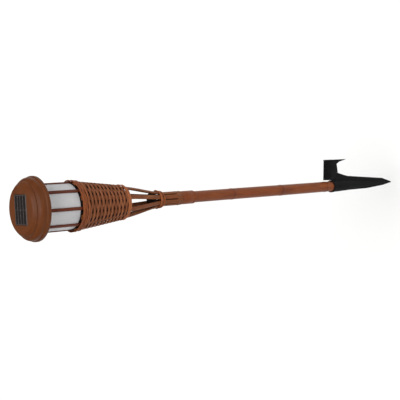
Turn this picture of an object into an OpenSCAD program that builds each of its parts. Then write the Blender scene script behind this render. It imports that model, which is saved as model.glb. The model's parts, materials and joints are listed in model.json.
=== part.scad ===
// Solar garden torch on a stake: a lamp head with a solar cell lifts out of a
// frosted lantern, which stands in a woven basket on a bamboo pole, and the
// pole stands in a moulded ground spike with a foot step.
// Millimetres. Origin on the pole's axis at ground level, +Z up the pole,
// the foot step towards +X.

/* [Pole] */
// Diameter of the bamboo pole
pole_d = 34; // [30:0.5:35]
// Height of the pole from the ground to the coupler
pole_out = 605; // [450:5:900]
// Wall of the bamboo
pole_wall = 4.5; // [3:0.5:8]
// Distance between the bamboo's knots
knot_pitch = 212; // [150:2:300]
// How far a knot stands out of the pole
knot_out = 1; // [0.5:0.1:2]

/* [Basket] */
// Outer diameter where the staves are gathered below the basket
neck_d = 41; // [41:0.5:46]
// Height of the bare staves between the neck and the weave
flare_h = 138; // [110:1:180]
// Outer diameter of the staves at the foot of the weave
foot_d = 92.2; // [80:0.2:100]
// Outer diameter of the staves at the rim
rim_d = 133.8; // [132:0.2:140]
// Height of the woven part with its borders
basket_h = 168; // [150:1:220]
// Width of a stave
stave_w = 12.4; // [9:0.2:13]
// Thickness of a stave
stave_t = 3.2; // [2.6:0.1:3.4]
// Thickness of the weave outside the staves
weave_t = 2.4; // [1.8:0.1:3]

/* [Lantern] */
// Outer diameter of the frosted diffuser
diffuser_d = 122; // [118:0.5:122]
// Wall of the diffuser
diffuser_wall = 2; // [1.5:0.1:3]
// Height of the lantern between the basket's rim and the cap
lantern_h = 100; // [80:1:120]
// Width of a rib over the diffuser
rib_w = 8.5; // [6:0.5:10]
// Thickness of a rib
rib_t = 3.4; // [2:0.2:3.4]

/* [Lamp head] */
// Diameter of the cap's flange
cap_d = 170; // [168:1:176]
// Height of the cap
cap_h = 42; // [41:1:48]
// Wall of the cap
cap_wall = 2.6; // [2:0.1:3.2]
// Side of the solar panel along X
panel_x = 78; // [70:1:80]
// Side of the solar panel along Y
panel_y = 62; // [58:1:76]

/* [Ground spike] */
// Depth of the socket that the pole stands in
socket_depth = 78; // [60:1:90]
// Reach of the foot step from the pole's axis
step_reach = 91; // [80:1:100]
// Width of the foot step
step_w = 36; // [30:1:40]
// Slope of the foot step, down and away from the pole
step_tilt = 5; // [0:1:10]
// Depth of the spike's tip below the ground line
spike_depth = 336; // [320:1:380]

/* [Hidden] */
$fn = 96;
small_fn = 32;

stave_count = 8;
stave_turn = 19.5;
rib_turn = -4.6;
flare_start = 0.1;

// Heights of the main joints, from the ground up
coupler_h = 51;
unsplit_h = 18;
neck_h = 44;
socket_z = -5;
coupler_z = pole_out;
neck_z = coupler_z + coupler_h;
slit_z = neck_z + unsplit_h;
flare_z = slit_z + neck_h;
foot_z = flare_z + flare_h;
rim_z = foot_z + basket_h;
cap_z = rim_z + lantern_h;

pole_grip = 34;
fit = 0.2;
pole_bottom = socket_z - socket_depth;
pole_top = coupler_z + pole_grip;

spreader_z = flare_z + 34;
spreader_h = 5;
rim_h = 22;
foot_border_h = 10;
gap = 0.3;
liner_t = 1.6;
cone = (rim_d - foot_d) / 2 / basket_h;

diffuser_r = diffuser_d / 2;
lantern_z = rim_z - 13;
lantern_foot_h = 4;
diffuser_z = rim_z + 2;
seat_gap = 0.2;
disc_z = cap_z - 2;
disc_t = 3;
seal_t = 1.8;
lantern_top = disc_z - seal_t - seat_gap;
ring_h = 6;
rib_r = diffuser_r + fit;

// Lamp head
cap_r = cap_d / 2;
wall_r = cap_r - 3;
face_r = 64;
spigot_r = diffuser_r - diffuser_wall - 0.4;
spigot_h = 15;
screw_circle = 73;
screw_count = 4;
board_z = disc_z + disc_t + 8;
board_t = 1.6;
led_r = 2.5;
panel_t = 3;
gasket_t = 1;
pocket_z = cap_z + cap_h - panel_t - gasket_t + 0.4;
tray_t = 2.4;

// Battery bay: the cell lies along X
cell_r = 7.1;
cell_len = 49;
bay_y = 25;
bay_half_x = 27.6;
bay_half_y = 9.5;
bay_wall = 1.6;
bay_top = disc_z + disc_t + 16.4;
cell_z = disc_z + disc_t + 7.8;
door_t = 2.2;
door_top = disc_z - seat_gap;
hinge_y = 39.2;
hinge_z = disc_z - 2.6;
hinge_r = 2.2;
hinge_pin_r = 1.1;
hinge_play = 0.2;

// Switch
switch_y = -26;
switch_travel = 3;
slider_x = 3.6;
slider_y = 3;
wire_r = 0.8;

// --- shared shapes -------------------------------------------------------

// Points on an arc in the (radius, height) plane
function arc(cr, cz, r, a0, a1, n = 8) =
  [for (i = [0:n]) let (a = a0 + (a1 - a0) * i / n) [cr + r * cos(a), cz + r * sin(a)]];

// Outer radius of the staves at a height: straight neck, curved flare, cone
function hermite(t, r0, r1, m0, m1) =
  r0 * (2 * t ^ 3 - 3 * t ^ 2 + 1) + m0 * (t ^ 3 - 2 * t ^ 2 + t)
  + r1 * (3 * t ^ 2 - 2 * t ^ 3) + m1 * (t ^ 3 - t ^ 2);
function stave_r(z) =
  z <= flare_z ? neck_d / 2
  : z >= foot_z ? foot_d / 2 + (z - foot_z) * cone
  : hermite((z - flare_z) / flare_h, neck_d / 2, foot_d / 2,
            flare_start * flare_h, cone * flare_h);

module ring(r_in, r_out, z, h) {
  translate([0, 0, z])
    difference() {
      cylinder(r = r_out, h = h);
      translate([0, 0, -1]) cylinder(r = r_in, h = h + 2);
    }
}

// A band that lies on the outside of the staves between two heights
module stave_band(z0, z1, in, out) {
  rotate_extrude()
    polygon([[stave_r(z0) + in, z0], [stave_r(z0) + out, z0],
             [stave_r(z1) + out, z1], [stave_r(z1) + in, z1]]);
}

module at_screws() {
  for (i = [0:screw_count - 1])
    rotate([0, 0, 45 + i * 360 / screw_count]) translate([screw_circle, 0, 0]) children();
}

// A round wire swept along a path: one ring of points for each point of it
module wire(path, r, sides) {
  last = len(path) - 1;
  function along(i) = path[min(i + 1, last)] - path[max(i - 1, 0)];
  rings = [for (i = [0:last])
    let (t = along(i) / norm(along(i)), across = cross(t, [1, 0, 0]),
         u = across / norm(across), v = cross(t, u))
      [for (j = [0:sides - 1]) path[i] + r * (cos(360 * j / sides) * u + sin(360 * j / sides) * v)]];
  polyhedron([for (ring = rings) each ring], concat(
    [[for (j = [0:sides - 1]) j]],
    [for (k = [0:last - 1], j = [0:sides - 1])
      let (n = (j + 1) % sides)
        [k * sides + j, (k + 1) * sides + j, (k + 1) * sides + n, k * sides + n]],
    [[for (j = [sides - 1:-1:0]) last * sides + j]]));
}

// --- pole and ground spike -----------------------------------------------

spike_fin_t = 4.5;
collar_r = pole_d / 2 + 3.7;
socket_r = collar_r - 1;
collar_h = 12;
step_t = 4;
step_in = 21.6;
step_wall = 3;
tooth_len = 73;
tooth_root = 15;
spike_end = -spike_depth;

// Height of the tread's underside at a reach from the axis
function tread_z(x) = (step_reach - x) * tan(step_tilt);

// Fin outlines in the (reach, height) plane: the front one carries the step
function front_fin() = concat(
  [[0, spike_end + 8], [0, -12], [collar_r + 3, -12]],
  [[step_in + 6, tread_z(step_in + 6) + 1], [step_reach - 2, tread_z(step_reach - 2) + 1]],
  [[step_reach - 2, -14], [50, -25], [47, -38], [42, -55], [36.5, -75], [32, -96]],
  [[30, -120], [23.6, -204], [16.7, -285], [6, spike_end + 14], [1.6, spike_end]]);
function side_fin(reach) =
  [[0, -collar_h - 6], [reach + 1.5, -collar_h - 6], [reach, -90], [reach - 1, -200],
   [reach - 8, -288], [3.4, spike_end + 14], [1.2, spike_end], [0, spike_end]];

module fin(outline, turn) {
  rotate([0, 0, turn])
    translate([0, spike_fin_t / 2, 0])
      rotate([90, 0, 0])
        linear_extrude(spike_fin_t) polygon(outline);
}

module foot_step() {
  tread = (step_reach - step_in) / cos(step_tilt);
  // tread with a raised toe lip
  translate([step_reach, -step_w / 2, 0])
    rotate([0, step_tilt, 0]) {
      translate([-tread, 0, 0]) cube([tread, step_w, step_t]);
      translate([-3, 0, step_t - 1]) cube([3, step_w, 2.2]);
    }
  // two side walls, each with a tooth at its outer end
  for (side = [-1, 1])
    translate([0, side * (step_w - step_wall) / 2 + step_wall / 2, 0])
      rotate([90, 0, 0])
        linear_extrude(step_wall)
          polygon([[step_in + 1, tread_z(step_in + 1) + 2], [step_in + 1, 0], [34, -14],
                   [47.6, -26], [step_reach - tooth_root, -22], [step_reach - 8, -36],
                   [step_reach, -tooth_len], [step_reach, 2]]);
  // toe wall between the side walls
  translate([step_reach - step_wall, -step_w / 2, -22]) cube([step_wall, step_w, 24]);
}

module ground_spike() {
  color("#232323")
    difference() {
      union() {
        rotate_extrude()
          polygon([[0, spike_end + 6], [1.6, spike_end + 6], [5, spike_end + 40], [9.5, -204],
                   [14.5, -120], [socket_r - 2, pole_bottom - 4], [socket_r, -30],
                   [socket_r, socket_z - collar_h],
                   [collar_r, socket_z - collar_h + 1], [collar_r, socket_z - 1],
                   [collar_r - 1, socket_z], [0, socket_z]]);
        fin(front_fin(), 0);
        for (turn = [90, 180, 270]) fin(side_fin(17), turn);
        foot_step();
      }
      translate([0, 0, pole_bottom]) cylinder(r = pole_d / 2 + fit, h = socket_depth + 5);
    }
}

module pole() {
  color("#84482a") {
    difference() {
      translate([0, 0, pole_bottom]) cylinder(r = pole_d / 2, h = pole_top - pole_bottom);
      translate([0, 0, pole_bottom - 1])
        cylinder(r = pole_d / 2 - pole_wall, h = pole_top - pole_bottom + 2);
    }
    for (z = [28:knot_pitch:pole_out - 60])
      rotate_extrude()
        polygon(concat([[pole_d / 2 - 1, z - 8]],
                       [for (i = [-6:6]) [pole_d / 2 + knot_out * (1 + cos(i * 30)) / 2, z + i]],
                       [[pole_d / 2 - 1, z + 8]]));
  }
}

module pole_coupler() {
  coupler_r = neck_d / 2 - 1;
  color("#7c4229")
    rotate_extrude()
      polygon([[pole_d / 2 + fit, coupler_z], [coupler_r - 1, coupler_z],
               [coupler_r, coupler_z + 1.5], [coupler_r, neck_z - 1.4],
               [coupler_r - 1, neck_z - 0.4],
               [pole_d / 2 + fit, neck_z - 0.4]]);
}

// --- basket --------------------------------------------------------------

// Dowel that joins the split bamboo to the coupler
module neck_plug() {
  plug_r = neck_d / 2 - stave_t - 0.5;
  plug_low = pole_top + 2;
  color("#3a2318")
    translate([0, 0, plug_low]) cylinder(r = plug_r, h = flare_z - 6 - plug_low);
}

// Bamboo split into eight staves above a short unsplit foot: the turned outline
// of the basket, cut down to four slabs through the axis
module split_bamboo() {
  rise = [for (k = [0:12]) flare_z + flare_h * k / 12];
  heights = concat([neck_z], rise, [rim_z - 0.5]);
  outer = [for (z = heights) [stave_r(z), z]];
  inner = [for (k = [len(heights) - 1:-1:0]) [stave_r(heights[k]) - stave_t, heights[k]]];
  color("#84482a")
    intersection() {
      rotate_extrude() polygon(concat(outer, inner));
      union() {
        for (i = [0:stave_count / 2 - 1])
          rotate([0, 0, stave_turn + i * 360 / stave_count])
            translate([-rim_d, -stave_w / 2, neck_z - 1])
              cube([2 * rim_d, stave_w, rim_z - neck_z + 2]);
        translate([0, 0, neck_z - 1]) cylinder(r = neck_d, h = slit_z - neck_z + 1);
      }
    }
}

// Wedge that holds the staves apart where they start to spread: its upper edge
// meets them, and it tapers towards the neck
module stave_spreader() {
  top = spreader_z + spreader_h;
  edge_r = stave_r(top - 3) - stave_t - fit;
  color("#3a2318")
    rotate_extrude()
      polygon([[0, spreader_z], [edge_r - 5, spreader_z], [edge_r, top - 3],
               [edge_r, top], [0, top]]);
}

// A ring of tacks through the staves
module tack_ring(z) {
  face = stave_r(z);
  for (i = [0:stave_count - 1])
    rotate([0, 0, stave_turn + i * 360 / stave_count])
      translate([face - 0.3, 0, z])
        rotate([0, 90, 0]) {
          cylinder(r1 = 2.3, r2 = 1.5, h = 1.3, $fn = small_fn);
          translate([0, 0, -7]) cylinder(r = 0.7, h = 7.5, $fn = small_fn);
        }
}

module stave_tacks() {
  color("#6d4028") {
    tack_ring(neck_z + 12);
    tack_ring(spreader_z + spreader_h - 1.5);
  }
}

module neck_binding() {
  color("#7a4128") stave_band(flare_z + 7, flare_z + 23, 0.2, 3.2);
}

module foot_binding() {
  color("#7d4e3a") stave_band(foot_z, foot_z + foot_border_h, 0.2, weave_t + 0.2);
}

module basket_weave() {
  color("#7d4e3a")
    stave_band(foot_z + foot_border_h + gap, rim_z - rim_h - gap, 0.2, weave_t);
}

module rim_binding() {
  color("#86543f") stave_band(rim_z - rim_h, rim_z, 0.2, weave_t);
}

// Thin cup inside the weave that closes the lantern from below
module basket_liner() {
  clear = stave_t + weave_t + 0.8;
  low = foot_z + 1;
  high = lantern_z - lantern_foot_h - gap;
  foot_r = stave_r(low) - clear;
  top_r = foot_r + (high - low) * cone;
  color("#241712")
    rotate_extrude()
      polygon([[0, low], [foot_r - 3, low], [foot_r, low + 3], [top_r, high],
               [top_r - liner_t, high], [foot_r - liner_t, low + liner_t + 2],
               [foot_r - 4, low + liner_t], [0, low + liner_t]]);
}

// --- lantern -------------------------------------------------------------

// Dark seat at the rim: a flange inside the staves and a wall that the
// diffuser stands on
module lantern_base_ring() {
  low = lantern_z - lantern_foot_h;
  outer_r = diffuser_r + 0.1;
  color("#241712")
    rotate_extrude()
      polygon([[50, low], [outer_r, low], [outer_r, diffuser_z],
               [outer_r - 2.5, diffuser_z], [outer_r - 2.5, lantern_z], [50, lantern_z]]);
}

module lantern_ribs() {
  low = lantern_z - lantern_foot_h;
  high = lantern_top - ring_h;
  color("#783c2d")
    intersection() {
      ring(rib_r, rib_r + rib_t, low, high - low);
      union()
        for (i = [0:stave_count - 1])
          rotate([0, 0, rib_turn + i * 360 / stave_count])
            translate([0, -rib_w / 2, low - 1])
              cube([diffuser_d, rib_w, high - low + 2]);
    }
}

module lantern_top_ring() {
  color("#783c2d") ring(rib_r, rib_r + 4.2, lantern_top - ring_h, ring_h);
}

module diffuser() {
  color("#e4e6e6")
    ring(diffuser_r - diffuser_wall, diffuser_r, diffuser_z + 0.1, lantern_top - diffuser_z - 0.1);
}

// --- lamp head: cap and panel --------------------------------------------

// Outline of the cap from its centre out and down, heights above its edge:
// flat face, chamfer, small step, round shoulder, wall and flange
function cap_outline(in) = concat(
  arc(face_r - 2.5 - in, cap_h - 2.5 - in, 2.5, 90, 50, 3),
  [[face_r + 3.6 - in, cap_h - 4.4 - in], [face_r + 6.8 - in, cap_h - 7.4 - in]],
  in > 0 ? [] : [[face_r + 7.2, cap_h - 9]],
  arc(cap_r - 18.5 - in, cap_h - 26.5 - in, 15.5, 72, 0, 7),
  [[wall_r - in, 12.5]],
  in > 0 ? [[wall_r - in, 0]]
         : concat(arc(wall_r, 8, 3, 70, 0, 4), arc(wall_r, 3, 3, 0, -70, 4), [[wall_r, 0]]));

module cap_solid(in) {
  rotate_extrude()
    translate([0, cap_z])
      polygon(concat([[0, cap_h - in]], cap_outline(in), [[0, 0]]));
}

module top_cap() {
  tray_x = panel_x + 5;
  tray_y = panel_y + 5;
  color("#7a4026")
    difference() {
      union() {
        difference() {
          cap_solid(0);
          translate([0, 0, -0.01]) cap_solid(cap_wall);
        }
        translate([-tray_x / 2, -tray_y / 2, pocket_z - tray_t])
          cube([tray_x, tray_y, cap_z + cap_h - cap_wall - pocket_z + tray_t + 0.5]);
        intersection() {
          cap_solid(0);
          at_screws() translate([0, 0, disc_z + disc_t + 0.1]) cylinder(r = 4, h = cap_h);
        }
      }
      translate([-panel_x / 2 - 0.5, -panel_y / 2 - 0.5, pocket_z])
        cube([panel_x + 1, panel_y + 1, 10]);
      for (x = [-10, 10])
        translate([x, -20, pocket_z - 10]) cylinder(r = 2.2, h = 20, $fn = small_fn);
    }
}

module cap_screws() {
  color("#9a9c9e")
    at_screws() {
      translate([0, 0, disc_z - 1.8]) {
        difference() {
          cylinder(r1 = 2.4, r2 = 3.1, h = 1.8, $fn = small_fn);
          for (turn = [0, 90])
            rotate([0, 0, turn]) translate([-1.8, -0.4, -0.5]) cube([3.6, 0.8, 1.3]);
        }
        cylinder(r = 1.3, h = 18, $fn = small_fn);
      }
    }
}

module solar_panel() {
  color("#1c1d24")
    translate([-panel_x / 2, -panel_y / 2, pocket_z + gasket_t])
      cube([panel_x, panel_y, panel_t]);
}

module panel_gasket() {
  color("#2c2c2c")
    translate([0, 0, pocket_z])
      difference() {
        translate([-panel_x / 2 + 1, -panel_y / 2 + 1, 0])
          cube([panel_x - 2, panel_y - 2, gasket_t]);
        translate([-panel_x / 2 + 5, -panel_y / 2 + 5, -1])
          cube([panel_x - 10, panel_y - 10, gasket_t + 2]);
      }
}

// --- lamp head: module under the cap -------------------------------------

module hinge_lug(x) {
  translate([x, hinge_y, hinge_z]) rotate([0, 90, 0]) cylinder(r = hinge_r, h = 3);
  translate([x, hinge_y - hinge_r, hinge_z]) cube([3, 2 * hinge_r, disc_z - hinge_z + 0.5]);
}

module module_base() {
  post_h = board_z - disc_z - 1;
  color("#d8d8d4")
    difference() {
      union() {
        translate([0, 0, disc_z]) cylinder(r = wall_r - cap_wall - 0.4, h = disc_t);
        ring(spigot_r - 2, spigot_r, disc_z - spigot_h, spigot_h + 1);
        // battery bay
        translate([-bay_half_x - bay_wall, bay_y - bay_half_y - bay_wall, disc_z + 1])
          cube([2 * (bay_half_x + bay_wall), 2 * (bay_half_y + bay_wall),
                bay_top - disc_z - 1 + bay_wall]);
        // board posts
        for (x = [-15, 15])
          translate([x, 0, disc_z + 1]) cylinder(r = 2.6, h = post_h, $fn = small_fn);
        hinge_lug(25.2);
        hinge_lug(-28.2);
      }
      // room for the cell, and for the door's catch
      translate([-bay_half_x, bay_y - bay_half_y, disc_z - 1])
        cube([2 * bay_half_x, 2 * bay_half_y, bay_top - disc_z + 1]);
      translate([-4.6, 12.2, disc_z - 1]) cube([9.2, 3.2, 6]);
      // lamp, switch, pilot and lead holes
      translate([0, 0, disc_z - 1]) cylinder(r = led_r + 0.15, h = disc_t + 2, $fn = small_fn);
      translate([-switch_travel / 2 - slider_x / 2 - 0.3, switch_y - slider_y / 2 - 0.3, disc_z - 1])
        cube([switch_travel + slider_x + 0.6, slider_y + 0.6, disc_t + 2]);
      at_screws() translate([0, 0, disc_z - 1]) cylinder(r = 1.5, h = disc_t + 2, $fn = small_fn);
      for (x = [-26, 26])
        translate([x, bay_y, bay_top - 1]) cylinder(r = 1.1, h = bay_wall + 2, $fn = small_fn);
      translate([24, hinge_y, hinge_z])
        rotate([0, 90, 0]) cylinder(r = hinge_pin_r + hinge_play, h = 5, $fn = small_fn);
      translate([-29, hinge_y, hinge_z])
        rotate([0, 90, 0]) cylinder(r = hinge_pin_r + hinge_play, h = 5, $fn = small_fn);
    }
}

module module_seal() {
  color("#3a3a3a") ring(spigot_r + 0.6, rib_r + 4.4, disc_z - seal_t, seal_t);
}

module circuit_board() {
  color("#2f6b3c")
    difference() {
      translate([-20, -13, board_z]) cube([40, 25, board_t]);
      for (x = [-15, 15])
        translate([x, 0, board_z - 1]) cylinder(r = 1.1, h = board_t + 2, $fn = small_fn);
    }
}

module board_parts() {
  top = board_z + board_t;
  color("#26272a") {
    translate([-6, -8, top]) cylinder(r = 3, h = 5, $fn = small_fn);
    translate([3, -9, top]) cube([5, 4, 1.6]);
    translate([-9, 4, top]) cube([6, 2.4, 2]);
    translate([5, 5, top]) cylinder(r = 2.2, h = 6, $fn = small_fn);
  }
}

module board_screws() {
  color("#9a9c9e")
    for (x = [-15, 15])
      translate([x, 0, board_z - 5]) {
        cylinder(r = 1, h = 6.8, $fn = small_fn);
        translate([0, 0, 5 + board_t]) cylinder(r1 = 1.9, r2 = 1.4, h = 1.3, $fn = small_fn);
      }
}

module led_lamp() {
  low = disc_z - 4;
  color("#f3f4ee") {
    translate([0, 0, low]) cylinder(r = led_r, h = disc_z + disc_t + 0.5 - low, $fn = small_fn);
    translate([0, 0, low]) sphere(r = led_r, $fn = small_fn);
    translate([0, 0, disc_z + disc_t + 0.1]) cylinder(r = led_r + 0.5, h = 1, $fn = small_fn);
  }
}

module led_legs() {
  low = disc_z + disc_t + 1.1;
  color("#c9cacb")
    for (x = [-1.5, 1])
      translate([x, -0.25, low]) cube([0.5, 0.5, board_z - low]);
}

module led_reflector() {
  color("#f0f0ec")
    rotate_extrude()
      polygon([[3.2, disc_z], [4.6, disc_z], [11.6, disc_z - 9], [11.6, disc_z - 10],
               [10.6, disc_z - 10], [3.2, disc_z - 0.8]]);
}

module battery_cell() {
  color("#4f7d54")
    translate([-23.8, bay_y, cell_z])
      rotate([0, 90, 0]) {
        cylinder(r = cell_r, h = cell_len);
        translate([0, 0, cell_len - 0.5]) cylinder(r = 2.6, h = 2, $fn = small_fn);
      }
}

// Negative contact: a plate with a coil that widens towards the plate
module battery_spring() {
  coil_start = -bay_half_x + 0.9;
  coil_end = -24.2;
  turns = 3;
  steps = 48;
  color("#c9cacb")
    translate([0, bay_y, cell_z]) {
      translate([-bay_half_x + 0.1, -6.5, -6.5]) cube([0.5, 13, 13.4]);
      wire([for (k = [0:steps])
        let (t = k / steps, a = 360 * turns * t, r = 5 - 1.6 * t)
          [coil_start + (coil_end - coil_start) * t, r * cos(a), r * sin(a)]], 0.35, 6);
    }
}

module battery_contact() {
  color("#c9cacb")
    translate([bay_half_x - 0.6, bay_y - 6.5, cell_z - 6.5]) cube([0.5, 13, 13.4]);
}

module leads(side, colour) {
  top = board_z + board_t;
  color(colour) {
    wire([[side * 10, -20, pocket_z + 0.6], [side * 10, -20, pocket_z - 6],
          [side * 10.5, -18, pocket_z - 9], [side * 13.5, -11, top + 9],
          [side * 14, -10, top + 6], [side * 14, -10, top]], wire_r, 8);
    wire([[side * 26, bay_y, cell_z + 6.9], [side * 26, bay_y, bay_top + 3],
          [side * 25, bay_y - 2, bay_top + 5], [side * 18, 11, bay_top + 4],
          [side * 17, 9, bay_top + 1], [side * 17, 9, top]], wire_r, 8);
  }
}

module switch_body() {
  low = disc_z + disc_t;
  color("#34363a")
    difference() {
      translate([-8, switch_y - 4, low]) cube([16, 8, 6]);
      translate([-switch_travel / 2 - slider_x / 2 - 0.3, switch_y - slider_y / 2 - 0.3, low - 1])
        cube([switch_travel + slider_x + 0.6, slider_y + 0.6, 5]);
    }
}

module switch_slider() {
  x = -switch_travel / 2 - slider_x / 2;
  color("#e8e8e6") {
    translate([x, switch_y - slider_y / 2, disc_z - 1])
      cube([slider_x, slider_y, disc_t + 4.4]);
    translate([x - 0.6, switch_y - slider_y / 2 - 1, disc_z - 2.4])
      cube([slider_x + 1.2, slider_y + 2, 1.9]);
    for (k = [0:2])
      translate([x + 0.2 + k * 1.3, switch_y - slider_y / 2 - 1, disc_z - 3])
        cube([0.6, slider_y + 2, 0.8]);
  }
}

module battery_door() {
  color("#d8d8d4") {
    translate([-29.4, 11.6, door_top - door_t]) cube([58.8, hinge_y - hinge_r - 0.4 - 11.6, door_t]);
    translate([-24.8, hinge_y - 4, door_top - door_t]) cube([49.6, 2.6, door_t]);
    // knuckle and its two stub pins
    translate([-24.8, hinge_y, hinge_z]) rotate([0, 90, 0]) cylinder(r = hinge_r, h = 49.6);
    translate([-27.8, hinge_y, hinge_z])
      rotate([0, 90, 0]) cylinder(r = hinge_pin_r, h = 55.6, $fn = small_fn);
    // ribs that hold the cell up, and the catch
    for (x = [-14, 12])
      translate([x, bay_y - 3, door_top - 0.5]) cube([2, 6, cell_z - cell_r - door_top + 0.3]);
    translate([-4, 13.8, door_top - 0.5]) cube([8, 1.2, 4.4]);
  }
}

ground_spike();
pole();
pole_coupler();
neck_plug();
split_bamboo();
stave_spreader();
stave_tacks();
neck_binding();
foot_binding();
basket_weave();
rim_binding();
basket_liner();
lantern_base_ring();
lantern_ribs();
lantern_top_ring();
diffuser();
top_cap();
cap_screws();
solar_panel();
panel_gasket();
module_base();
module_seal();
circuit_board();
board_parts();
board_screws();
led_lamp();
led_legs();
led_reflector();
battery_cell();
battery_spring();
battery_contact();
leads(1, "#a02222");  // red_leads
leads(-1, "#202020");  // black_leads
switch_body();
switch_slider();
battery_door();
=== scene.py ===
import bmesh
import bpy
import json
import math
from mathutils import Matrix, Vector


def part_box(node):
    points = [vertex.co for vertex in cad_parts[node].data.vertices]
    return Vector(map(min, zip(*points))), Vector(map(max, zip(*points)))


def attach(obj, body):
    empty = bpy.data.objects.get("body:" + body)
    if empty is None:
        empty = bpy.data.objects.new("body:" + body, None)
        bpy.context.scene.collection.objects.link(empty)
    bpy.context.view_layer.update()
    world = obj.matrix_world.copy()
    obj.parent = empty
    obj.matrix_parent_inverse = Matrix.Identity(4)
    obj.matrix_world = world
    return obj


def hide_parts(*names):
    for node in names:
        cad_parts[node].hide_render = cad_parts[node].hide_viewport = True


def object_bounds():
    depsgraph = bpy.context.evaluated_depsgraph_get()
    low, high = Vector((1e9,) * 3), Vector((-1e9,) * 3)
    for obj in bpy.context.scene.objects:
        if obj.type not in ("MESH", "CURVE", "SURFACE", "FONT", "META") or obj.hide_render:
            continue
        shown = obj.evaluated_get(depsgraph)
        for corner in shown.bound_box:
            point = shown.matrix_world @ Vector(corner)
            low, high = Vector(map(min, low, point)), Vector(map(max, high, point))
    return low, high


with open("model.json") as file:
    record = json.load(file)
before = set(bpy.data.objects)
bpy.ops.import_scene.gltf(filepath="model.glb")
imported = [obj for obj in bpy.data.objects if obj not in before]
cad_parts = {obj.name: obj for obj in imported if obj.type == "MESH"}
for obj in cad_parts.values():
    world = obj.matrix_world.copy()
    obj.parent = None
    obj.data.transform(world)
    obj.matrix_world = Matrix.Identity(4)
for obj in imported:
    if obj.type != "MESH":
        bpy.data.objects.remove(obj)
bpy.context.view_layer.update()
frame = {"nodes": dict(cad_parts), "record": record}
mm = 0.001
weldGap = 1e-6  # points closer than this are one
print("frame loaded")


def toLinear(hexColour):
    parts = [int(hexColour[i:i + 2], 16) / 255 for i in (1, 3, 5)]
    return [c / 12.92 if c <= 0.04045 else ((c + 0.055) / 1.055) ** 2.4 for c in parts] + [1.0]


def addNode(tree, kind, settings=None, links=None):
    # a name the node has itself is a setting, "stops" fills its ramp, and any other key is a socket
    node = tree.nodes.new(kind)
    for key, value in (settings or {}).items():
        if key == "stops":
            ramp = node.color_ramp.elements
            while len(ramp) < len(value):
                ramp.new(0.5)
            for stop, (place, tone) in zip(ramp, value):
                stop.position = place
                stop.color = toLinear(tone)
        elif isinstance(key, str) and hasattr(node, key):
            setattr(node, key, value)
        else:
            node.inputs[key].default_value = value
    for key, socket in (links or {}).items():
        tree.links.new(socket, node.inputs[key])
    return node


def keep(obj):
    bpy.context.scene.collection.objects.link(obj)
    return obj


def addCamera():
    view = {
        "offset": Vector((0.085, -1.903, 1.028)),  # from the cap's lower edge on the axis
        "forward": Vector((-0.0388, 0.7695, -0.637)),
        "up": Vector((0.998, 0.0, -0.062)),  # the torch lies across the frame
        "lensMm": 74.7,
    }
    centre = Vector((0, 0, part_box("top_cap")[0].z))
    camera = bpy.data.cameras.new("camera")
    camera.lens = view["lensMm"]
    camera.sensor_width = 36
    obj = keep(bpy.data.objects.new("camera", camera))
    back = -view["forward"].normalized()
    right = view["up"].cross(back).normalized()
    turn = Matrix((right, back.cross(right), back)).transposed().to_4x4()
    obj.matrix_world = Matrix.Translation(centre + view["offset"]) @ turn
    bpy.context.scene.camera = obj


addCamera()
print("camera set")


def addStudio():
    studio = {
        "floorDrop": 90 * mm,  # below the spike's tip, so no shadow gathers round it
        "floorHalf": 9.0,
        "floorColour": "#f6f6f5",
        "floorRoughness": 0.9,
        "floorSpecular": 0.1,
        "skyStrength": 0.2,
        # direction the light travels in, strength, softness in degrees
        "suns": {
            "overhead": (Vector((-0.15, 0.25, -1.0)), 2.9, 50),
            "front": (Vector((-0.6, 1.0, -0.4)), 0.35, 30),
            "fill": (Vector((0.8, 0.7, -0.2)), 0.3, 40),
        },
    }
    scene = bpy.context.scene
    scene.view_settings.view_transform = "Standard"
    world = bpy.data.worlds.new("studio")
    scene.world = world
    world.use_nodes = True
    world.node_tree.nodes["Background"].inputs["Color"].default_value = (1, 1, 1, 1)
    world.node_tree.nodes["Background"].inputs["Strength"].default_value = studio["skyStrength"]
    for name, (way, strength, spread) in studio["suns"].items():
        light = bpy.data.lights.new(name, "SUN")
        light.energy = strength
        light.angle = math.radians(spread)
        sun = keep(bpy.data.objects.new(name, light))
        sun.rotation_euler = way.to_track_quat("-Z", "Y").to_euler()
    half, z = studio["floorHalf"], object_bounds()[0].z - studio["floorDrop"]
    mesh = bpy.data.meshes.new("floor")
    mesh.from_pydata([(-half, -half, z), (half, -half, z), (half, half, z), (-half, half, z)],
                     [], [(0, 1, 2, 3)])
    floor = keep(bpy.data.objects.new("floor", mesh))
    paint = bpy.data.materials.new("mattePaperSweep")
    paint.use_nodes = True
    shader = paint.node_tree.nodes["Principled BSDF"]
    shader.inputs["Base Color"].default_value = toLinear(studio["floorColour"])
    shader.inputs["Roughness"].default_value = studio["floorRoughness"]
    shader.inputs["Specular IOR Level"].default_value = studio["floorSpecular"]
    mesh.materials.append(paint)


addStudio()
print("studio lit")


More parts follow.
